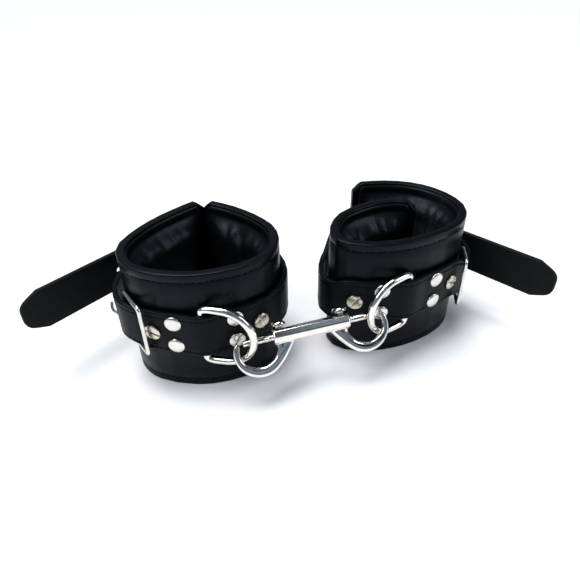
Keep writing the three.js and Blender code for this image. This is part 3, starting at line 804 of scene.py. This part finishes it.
def make_belt(side, outer, bar):
    strap = STRAPS[side]
    edge = 0.8 * MM
    begin, end = bar - HINGE_BACK + SPLIT_BACK, bar + strap["end"] * MM
    marks = steps_between(begin, end - edge, 1.2 * MM) + eased_end(end, edge)

    def section(s):
        low, high = strap_span(strap, s - bar)
        lift = lift_at(strap, s - bar)
        ring = grooved(low, high, lift, lift - BELT, edge, 0.22 * MM, BELT_SEAM)
        return inset_section(ring, end_round(end - s, edge))

    belt = sweep(f"{side}_strap", outer, marks, section, belt_leather)
    seat(belt, f"{side}_cuff", "belt_leather", f"{side}_belt")
    face = lambda s: lift_at(strap, s - bar) - 0.16 * MM
    spots = stitch_spots(outer, begin, end - 3 * MM, BELT_PITCH, face,
                         lambda s: strap_span(strap, s - bar)[0] + BELT_SEAM)
    spots += stitch_spots(outer, begin, end - 3 * MM, BELT_PITCH, face,
                          lambda s: strap_span(strap, s - bar)[1] - BELT_SEAM)
    low, high = strap_span(strap, end - bar)
    spots += upright_spots(outer, end - BELT_SEAM, low + 4 * MM, high - 4 * MM, BELT_PITCH,
                           lift_at(strap, end - bar))
    sewn = stitch_line(f"{side}_strap_stitches", spots, thread, 0.0019, 0.00036)
    seat(sewn, f"{side}_cuff", "belt_leather")


def make_free_strap(side, outer, bar):
    """The free end of the belt: it bends where it leaves the cuff, and ends in a point."""
    strap = STRAPS[side]
    edge = 0.8 * MM
    hinge = joints[f"{side}_tail_swing"]["pos_m"]
    middle = strap["middle"] * MM
    lead = []
    for back in (17, 14, 11, 8, SPLIT_BACK / MM, 2.5):
        s = bar - HINGE_BACK + back * MM
        spot, normal = outer.at(s)
        lead.append(spot + normal * (lift_at(strap, s - bar) - BELT / 2))
    points = lead + [np.array(hinge[:2])] + [np.array(p) * MM for p in strap["free"]]
    line = Path(points, points[0], -outer.side)
    split = line.nearest(lead[4])
    end = line.length

    def section(s):
        reach = min(1.0, 0.5 + 0.5 * (max(end - s, 0.0) / TIP) ** 0.8)
        half = TAIL_WIDTH / 2 * reach
        fade = smooth((s - split) / (10 * MM))
        groove = 0.22 * MM * (1 - fade) + 0.03 * MM
        ring = grooved(middle - half, middle + half, BELT / 2, -BELT / 2, min(edge, half * 0.45), groove,
                       min(BELT_SEAM, half * 0.6))
        nose = end_round(end - s, 3.4 * MM) * 0.9
        drawn = [(u, middle + (z - middle) * (half - nose) / half) for u, z in ring]
        return inset_section(drawn, end_round(end - s, edge) * 0.9)

    marks = steps_between(split, end - TIP, 1.2 * MM)
    marks += steps_between(end - TIP, end - 3.4 * MM, 0.6 * MM)[1:] + eased_end(end, 3.4 * MM)
    tail = sweep(f"{side}_free_strap", line, marks, section, strap_leather)
    for number in range(HOLE_COUNT):
        at = end - FIRST_HOLE - HOLE_PITCH * number
        spot, normal = line.at(at)
        outward = level(normal)
        start = Vector((spot[0], spot[1], middle)) - outward * 6 * MM
        profile = [(0, 0), (0, HOLE), (12 * MM, HOLE), (12 * MM, 0)]
        boolean(tail, lathe("punch", profile, start, outward, None, 32))
    tail.data.shade_smooth()
    soften_edges(tail, 40)
    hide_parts(f"{side}_belt_tail")
    at = Vector(hinge)
    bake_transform(tail)


def soften_edges(obj, degrees):
    """Shades smooth except over edges sharper than an angle."""
    obj.data.set_sharp_from_angle(angle=math.radians(degrees))


def make_fastener(side, name, at, outward, turn, material):
    """A domed rivet, or with a turn given a slotted screw, on the face of the belt."""
    base = 3.12 * MM
    radius = 4.2 * MM
    if turn is None:
        profile = [(-2.5 * MM, 0), (-2.5 * MM, 1.3 * MM), (base, 1.3 * MM), (base, radius - 0.25 * MM)]
        profile += [(base + 0.3 * MM, radius)]
        for k in range(1, 11):
            share = k / 10
            profile.append((base + (0.45 + 1.2 * math.sin(math.pi / 2 * share)) * MM,
                            radius * math.cos(math.pi / 2 * share) if k < 10 else 0))
    else:
        profile = [(-1.6 * MM, 0), (-1.6 * MM, 1.35 * MM), (base, 1.35 * MM), (base, radius - 0.2 * MM)]
        profile += [(base + 0.2 * MM, radius), (base + 0.9 * MM, radius),
                    (base + 1.15 * MM, radius - 0.22 * MM), (base + 1.3 * MM, radius - 0.7 * MM),
                    (base + 1.38 * MM, radius * 0.5), (base + 1.4 * MM, 0)]
    made = lathe(f"{side}_{name}_head", profile, at, outward, material, 48)
    if turn is not None:
        upright = Vector((0, 0, 1))
        across = upright.cross(outward)
        spin = Matrix.Rotation(math.radians(turn), 3, outward)
        basis = Matrix((outward, spin @ across, spin @ upright)).transposed().to_4x4()
        size = Matrix.Diagonal((1.8 * MM, 1.25 * MM, 12 * MM, 1))
        place = Matrix.Translation(at + outward * (base + 1.4 * MM))
        boolean(made, cube("slot", place @ basis @ size))
        made.data.shade_smooth()
    soften_edges(made, 38)
    seat(made, f"{side}_cuff", "nickel", f"{side}_{name}")


def make_fasteners(side, outer, bar):
    strap = STRAPS[side]

    def fasten(name, away, z, turn, material):
        spot, normal = outer.at(bar + away * MM)
        make_fastener(side, name, Vector((spot[0], spot[1], z)), level(normal).normalized(), turn, material)

    for number in range(4):
        z = BELT_Z + (RIVET_RISE if number % 2 else -RIVET_RISE)
        fasten(f"rivet_{number + 1}", strap["rivets"][number // 2], z, None, nickel)
    for number in range(2):
        fasten(f"screw_{number + 1}", strap["screws"][number], BELT_Z, strap["turns"][number], screw_metal)


def make_prong(side, outer, bar):
    """The buckle's pin: a loop round the heel bar and a bent shank."""
    strap = STRAPS[side]
    pivot = Vector(joints[f"{side}_prong_swing"]["pos_m"])
    spot, normal = outer.at(bar + strap["heel"] * MM)
    outward = level(normal).normalized()
    onward = Vector((0, 0, 1)).cross(outward)
    ahead = outer.at(bar + (strap["heel"] + 5) * MM)[0]
    if onward.dot(level(ahead - spot)) < 0:
        onward = -onward
    wire = 0.75 * MM
    loop = 2.35 * MM
    turns = [2 * math.pi * k / 28 for k in range(28)]
    centres = [pivot + (outward * math.cos(a) + onward * math.sin(a)) * loop for a in turns]
    made = tube(f"{side}_prong", centres, (wire, wire), Vector((0, 0, 1)), nickel, 14)
    lifted = 4.8  # mm that the shank stands off its pivot
    route = [(0, 2.35), (1.2, 2.4), (2.5, 2.75), (3.8, 3.9), (5, lifted - 0.8), (7.5, lifted),
             (11, lifted - 0.4), (15, lifted - 1.7)]
    smooth_route = resample([pivot + (onward * a + outward * b) * MM for a, b in route], 40)
    shank = tube("shank", smooth_route, (wire, wire), Vector((0, 0, 1)), nickel, 14, False)
    boolean(made, shank, "UNION")
    made.data.shade_smooth()
    seat(made, f"{side}_prong", "nickel", f"{side}_buckle_prong")


def resample(points, count):
    """An even smooth open curve through points."""
    curve = [points[0] * 2 - points[1]] + list(points) + [points[-1] * 2 - points[-2]]
    made = []
    for k in range(count + 1):
        at = (len(points) - 1) * k / count
        i = min(int(at), len(points) - 2)
        t = at - i
        a, b, c, d = curve[i:i + 4]
        bend = (a * 2 - b * 5 + c * 4 - d) * t**2 + (b * 3 - a - c * 3 + d) * t**3
        made.append(((b * 2) + (c - a) * t + bend) / 2)
    return made


def shell_spans_of(outer):
    def spans(s):
        clip = max(0.0, CORNER_CLIP - min(s, outer.length - s))
        return clip, CUFF_HEIGHT - clip
    return spans


for side in SIDES:
    loop = section_loop(f"{side}_cuff_shell", 0.062)
    chains = faces_of(loop)
    ring_pivot = np.array(joints[f"{side}_ring_swing"]["pos_m"][:2])
    outer_face = min(chains, key=lambda c: np.linalg.norm(c - ring_pivot, axis=1).min())
    hinge_at = np.array(joints[f"{side}_tail_swing"]["pos_m"][:2])
    shell_path = Path(outer_face, outer_face[0], 1)
    if shell_path.nearest(hinge_at) > shell_path.nearest(ring_pivot):
        shell_path = Path(outer_face[::-1], outer_face[-1], 1)
    here, normal = shell_path.at(shell_path.nearest(ring_pivot))
    if (ring_pivot - here) @ normal < 0:
        shell_path.side = -1
    ring_bar = shell_path.nearest(ring_pivot)
    make_shell(side, shell_path, shell_spans_of(shell_path))
    make_lining(side, shell_path, shell_spans_of(shell_path))
    make_belt(side, shell_path, ring_bar)
    make_free_strap(side, shell_path, ring_bar)
    make_fasteners(side, shell_path, ring_bar)
    make_prong(side, shell_path, ring_bar)

# ---- Rings and buckles ----


def catmull_loop(points, step):
    """A closed smooth curve through points, resampled evenly."""
    count = len(points)
    dense = []
    for i in range(count):
        p = [points[(i + k - 1) % count] for k in range(4)]
        t = [0.0]
        for k in range(3):
            t.append(t[-1] + (p[k + 1] - p[k]).length ** 0.5)
        for n in range(16):
            u = t[1] + (t[2] - t[1]) * n / 16
            dense.append(curve_point(p, t, u))
    lengths = [0.0]
    for i in range(len(dense)):
        lengths.append(lengths[-1] + (dense[(i + 1) % len(dense)] - dense[i]).length)
    total = lengths[-1]
    number = int(total / step)
    made, at = [], 0
    for k in range(number):
        s = total * k / number
        while lengths[at + 1] < s:
            at += 1
        share = (s - lengths[at]) / max(lengths[at + 1] - lengths[at], 1e-9)
        made.append(dense[at].lerp(dense[(at + 1) % len(dense)], share))
    return made


def plane_frame(node, pivot):
    """Outward plan direction of a flat wire shape from its pivot, and its reach."""
    co = np.array([v.co for v in frame["nodes"][node].data.vertices])
    away = co[:, :2] - np.array(pivot[:2])
    far = away[np.linalg.norm(away, axis=1) > 0.75 * np.linalg.norm(away, axis=1).max()]
    heading = far.mean(axis=0)
    heading /= np.linalg.norm(heading)
    return level(heading), float((away @ heading).max())


def arc(u, v, radius, turns):
    return [(u + radius * math.cos(a), v + radius * math.sin(a)) for a in turns]


def make_ring(side):
    pivot = joints[f"{side}_ring_swing"]["pos_m"]
    node = f"{side}_ring"
    low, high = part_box(node)
    heading, reach = plane_frame(node, pivot)
    wire = 1.94 * MM
    half = (high.z - low.z) / 2 - wire
    middle = Vector((pivot[0], pivot[1], (low.z + high.z) / 2))
    arm = reach - wire - half
    corner = 3 * MM
    shape = [(0, half / 3), (0, -half / 3)]
    shape += arc(corner, corner - half, corner, (math.pi, 1.25 * math.pi, 1.5 * math.pi))
    shape += arc(arm, 0, half, [-math.pi / 2 + math.pi * k / 16 for k in range(17)])
    shape += arc(corner, half - corner, corner, (math.pi / 2, 0.75 * math.pi, math.pi))
    centres = catmull_loop([middle + heading * u + Vector((0, 0, v)) for u, v in shape], 0.55 * MM)
    flat = heading.cross(Vector((0, 0, 1)))
    ring = tube(f"{side}_d_ring", centres, (wire, wire), flat, chrome, 24)
    seat(ring, f"{side}_d_ring", "chrome", node)


def make_buckle(side):
    pivot = joints[f"{side}_buckle_swing"]["pos_m"]
    node = f"{side}_buckle_frame"
    low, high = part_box(node)
    heading, reach = plane_frame(node, pivot)
    wire = 1.3 * MM
    half = (high.z - low.z) / 2 - wire
    length = reach - wire
    middle = Vector((pivot[0], pivot[1], (low.z + high.z) / 2))
    shape = rounded((0, -half), (length, half), 1.9 * MM, 5)
    corners = []
    for i, point in enumerate(shape):
        corners.append(point)
        if i % 6 == 5:
            following = shape[(i + 1) % len(shape)]
            for t in (0.1, 0.5, 0.9):
                corners.append(tuple(a + (b - a) * t for a, b in zip(point, following)))
    centres = catmull_loop([middle + heading * u + Vector((0, 0, v)) for u, v in corners], 0.4 * MM)
    flat = heading.cross(Vector((0, 0, 1)))
    buckle = tube(f"{side}_buckle", centres, (1.05 * MM, wire), flat, nickel, 20)
    seat(buckle, f"{side}_buckle", "nickel", node)


for side in SIDES:
    make_ring(side)
    make_buckle(side)

# ---- Snap hook ----

SNAP = Matrix((
    (0.99982, 0.0111, -0.0157, -0.00053),
    (0.0, 0.8161, 0.5779, -0.04214),
    (0.0192, -0.5778, 0.8160, 0.033),
    (0, 0, 0, 1),
))
EYE_X = 28
EYE_DROP = 4.6
EYE_INNER = 9.4
EYE_WALL = 3.8
EYE_SWELL = 1.3  # how much thicker the hook is at its lowest part


def eye_sections():
    """Inner and outer edge of the eye, pairwise in mm, from its tip round to the web under the barrel."""
    pairs = []
    for k in range(61):
        turn = math.radians(30 - 148 * k / 60)
        slim = min(1.0, 0.35 + k / 6)
        bore = EYE_INNER - EYE_SWELL * smooth((k - 18) / 22)
        inner = (EYE_X + bore * math.cos(turn), -EYE_DROP + bore * math.sin(turn))
        reach = EYE_INNER + EYE_WALL - 0.2
        outer = (EYE_X - 0.4 + reach * math.cos(turn), -EYE_DROP - 0.5 + reach * math.sin(turn))
        middle = [(inner[i] + outer[i]) / 2 for i in (0, 1)]
        pairs.append([
            tuple(middle[i] + (edge[i] - middle[i]) * slim for i in (0, 1)) for edge in (inner, outer)
        ])
    low = pairs[-1][1]
    for k in range(1, 15):
        t = k / 14
        turn = math.radians(-118 - 66 * t)
        bore = EYE_INNER - EYE_SWELL * (1 - t)
        inner = (EYE_X + bore * math.cos(turn), -EYE_DROP + bore * math.sin(turn))
        outer = tuple(
            (1 - t) ** 2 * a + 2 * t * (1 - t) * b + t * t * c for a, b, c in zip(low, (15, -12.4), (8, -1.5))
        )
        pairs.append([inner, outer])
    return pairs


def make_eye(name, end):
    """A hook of rounded section that widens into the web."""
    points = []
    sides = 24
    pairs = eye_sections()
    for inner, outer in pairs:
        middle = [(inner[i] + outer[i]) / 2 for i in (0, 1)]
        half = [(outer[i] - inner[i]) / 2 for i in (0, 1)]
        width = math.hypot(*half)
        deep = min(2.1, 0.35 + width * 0.7)
        for k in range(sides):
            turn = 2 * math.pi * k / sides
            c, s = math.cos(turn), math.sin(turn)
            c, s = math.copysign(abs(c) ** 0.85, c), math.copysign(abs(s) ** 0.85, s)
            points.append(Vector((end * (middle[0] + half[0] * c), deep * s, middle[1] + half[1] * c)) * MM)
    return add_object(name, mesh_from(name, points, skin(len(pairs), sides)), None, False)


def plate(name, outline, depth, end):
    """A flat plate from an outline in mm in the snap's own XZ plane."""
    work = bmesh.new()
    corners = [work.verts.new((x * end * MM, -depth / 2 * MM, z * MM)) for x, z in outline]
    face = work.faces.new(corners)
    pushed = bmesh.ops.extrude_face_region(work, geom=[face])
    moved = [g for g in pushed["geom"] if isinstance(g, bmesh.types.BMVert)]
    bmesh.ops.translate(work, verts=moved, vec=(0, depth * MM, 0))
    bmesh.ops.recalc_face_normals(work, faces=work.faces)
    mesh = bpy.data.meshes.new(name)
    work.to_mesh(mesh)
    work.free()
    return add_object(name, mesh, None, False)


def make_snap():
    """The cast body: a faceted barrel with an eye at each end, bored and slotted for the plungers."""
    turned = [(-20, 0), (-20, 3.5), (-19.5, 4.0), (19.5, 4.0), (20, 3.5), (20, 0)]
    barrel = lathe("snap", [(a * MM, b * MM) for a, b in turned], (0, 0, 0), (1, 0, 0), chrome, 8)
    parts = [barrel, make_eye("eye_a", -1), make_eye("eye_b", 1)]
    joined = bmesh.new()
    for part in parts:
        joined.from_mesh(part.data)
    joined.to_mesh(barrel.data)
    joined.free()
    for part in parts[1:]:
        bpy.data.objects.remove(part)
    soft = barrel.modifiers.new("cast", "REMESH")
    soft.mode = "VOXEL"
    soft.voxel_size = 0.24 * MM
    even = barrel.modifiers.new("polish", "SMOOTH")
    even.factor = 0.6
    even.iterations = 12
    apply_modifiers(barrel)
    for end in (-1, 1):
        drill = [(1.5 * MM, 0), (1.5 * MM, 2.1 * MM), (23 * MM, 2.1 * MM), (23 * MM, 0)]
        bore = lathe("bore", drill, (0, 0, 0), (end, 0, 0), None, 32)
        boolean(barrel, bore)
        place = Matrix.Translation(Vector((end * 13, 0, 4)) * MM)
        boolean(barrel, cube("slot", place @ Matrix.Diagonal((8.6 * MM, 2.6 * MM, 6 * MM, 1))))
        for face in (-1, 1):
            pocket = plate("pocket", [(13.5, -5.4), (18.2, -5), (20.5, -11.6)], 3, end)
            pocket.data.transform(Matrix.Translation((0, face * 2.7 * MM, 0)))
            boolean(barrel, pocket)
    barrel.data.transform(SNAP)
    barrel.data.shade_smooth()
    soften_edges(barrel, 42)
    seat(barrel, "snap_hook", "chrome", "snap_body")


def make_plunger(side):
    end = SIDES[side]
    body = f"{side}_plunger"
    r = 1.62 * MM
    profile = [(11 * MM, 0), (11 * MM, r - 0.2 * MM), (11.2 * MM, r)]
    for groove in (20.9, 22.1):
        profile += [((groove - 0.25) * MM, r), (groove * MM, r - 0.22 * MM), ((groove + 0.25) * MM, r)]
    profile += [(34.6 * MM, r), (35.0 * MM, r - 0.25 * MM), (35.2 * MM, r - 0.7 * MM), (35.2 * MM, 0)]
    rod = lathe(f"{side}_plunger_rod", profile, (0, 0, 0), (end, 0, 0), chrome, 40)
    rod.data.transform(SNAP)
    soften_edges(rod, 50)
    seat(rod, body, "chrome", f"{side}_plunger")
    stub = [(1.2, 0), (1.2, 0.85), (4.15, 0.9), (4.3, 2.1), (4.9, 2.1), (5.3, 2.9), (5.5, 3.6),
            (6.2, 3.7), (6.8, 3.4), (7.25, 3.0), (7.4, 2.6), (7.4, 0)]
    profile = [(a * MM, b * MM) for a, b in stub]
    tab = lathe(f"{side}_tab", profile, (end * 16 * MM, 0, 0), (0, 0, 1), chrome, 40)
    tab.data.transform(SNAP)
    soften_edges(tab, 40)
    seat(tab, body, "chrome", f"{side}_thumb_tab")
    turns, low, high = 5, 2.1 * MM, 10.4 * MM
    centres = []
    for k in range(turns * 24 + 1):
        share = k / (turns * 24)
        angle = 2 * math.pi * turns * share
        spot = Vector((low + (high - low) * share, 1.65 * MM * math.cos(angle), 1.65 * MM * math.sin(angle)))
        centres.append(SNAP @ Vector((spot.x * end, spot.y, spot.z)))
    along = SNAP.to_3x3() @ Vector((1, 0, 0))
    spring = tube(f"{side}_spring", centres, (0.24 * MM, 0.24 * MM), along, spring_steel, 8, False)
    seat(spring, "snap_hook", "spring_steel", f"{side}_plunger_spring")
    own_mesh(spring)


make_snap()
for side in SIDES:
    make_plunger(side)
    for number in (1, 2):
        mesh = frame["nodes"][f"{side}_screw_post_{number}"].data
        mesh.materials.clear()
        mesh.materials.append(nickel)

# ---- Stage ----


def make_floor():
    size = 3.0
    points = [(-size, -size, 0), (size, -size, 0), (size, size, 0), (-size, size, 0)]
    floor = add_object("floor", mesh_from("floor", points, [(0, 1, 2, 3)]), floor_material())


def make_world():
    """A dim room with a few brighter patches overhead, for the metal to reflect, and a pale even horizon."""
    world = bpy.data.worlds.new("studio")
    world.use_nodes = True
    nodes, links = world.node_tree.nodes, world.node_tree.links
    shade = nodes["Background"]
    place = nodes.new("ShaderNodeTexCoord").outputs["Generated"]
    patches = noise(nodes, links, place, 2.6, 1.5, 0.4)
    overhead = ramp(nodes, links, patches, [(0.44, (0.003, 0.003, 0.004)), (0.6, (0.3, 0.36, 0.42))])
    height = nodes.new("ShaderNodeSeparateXYZ")
    links.new(place, height.inputs["Vector"])
    rise = nodes.new("ShaderNodeMapRange")
    rise.inputs["From Min"].default_value = 0.3
    rise.inputs["From Max"].default_value = 0.5
    links.new(height.outputs["Z"], rise.inputs["Value"])
    blend = nodes.new("ShaderNodeMix")
    blend.data_type = "RGBA"
    links.new(rise.outputs["Result"], blend.inputs[0])
    blend.inputs[6].default_value = (0.24, 0.29, 0.36, 1)
    links.new(overhead, blend.inputs[7])
    links.new(blend.outputs[2], shade.inputs["Color"])
    shade.inputs["Strength"].default_value = 0.8
    bpy.context.scene.world = world


def make_sun():
    """One broad even light from above, a little behind, so that the floor is the same white everywhere."""
    data = bpy.data.lights.new("overhead", "SUN")
    data.energy = 3.3
    data.angle = math.radians(38)
    lamp = add_object("overhead", data, None, False)
    lamp.rotation_euler = Vector((0.12, -0.3, -1)).to_track_quat("-Z", "Y").to_euler()


make_camera()
make_floor()
make_world()
make_sun()
area_light("key", (-0.45, -0.1, 0.6), (-0.03, 0, 0.03), (0.3, 0.45), 2.4)
area_light("side", (0.6, -0.3, 0.45), (0.03, 0, 0.03), (0.2, 0.45), 1.6, (0.95, 0.97, 1))
bpy.context.scene.view_settings.view_transform = "Standard"
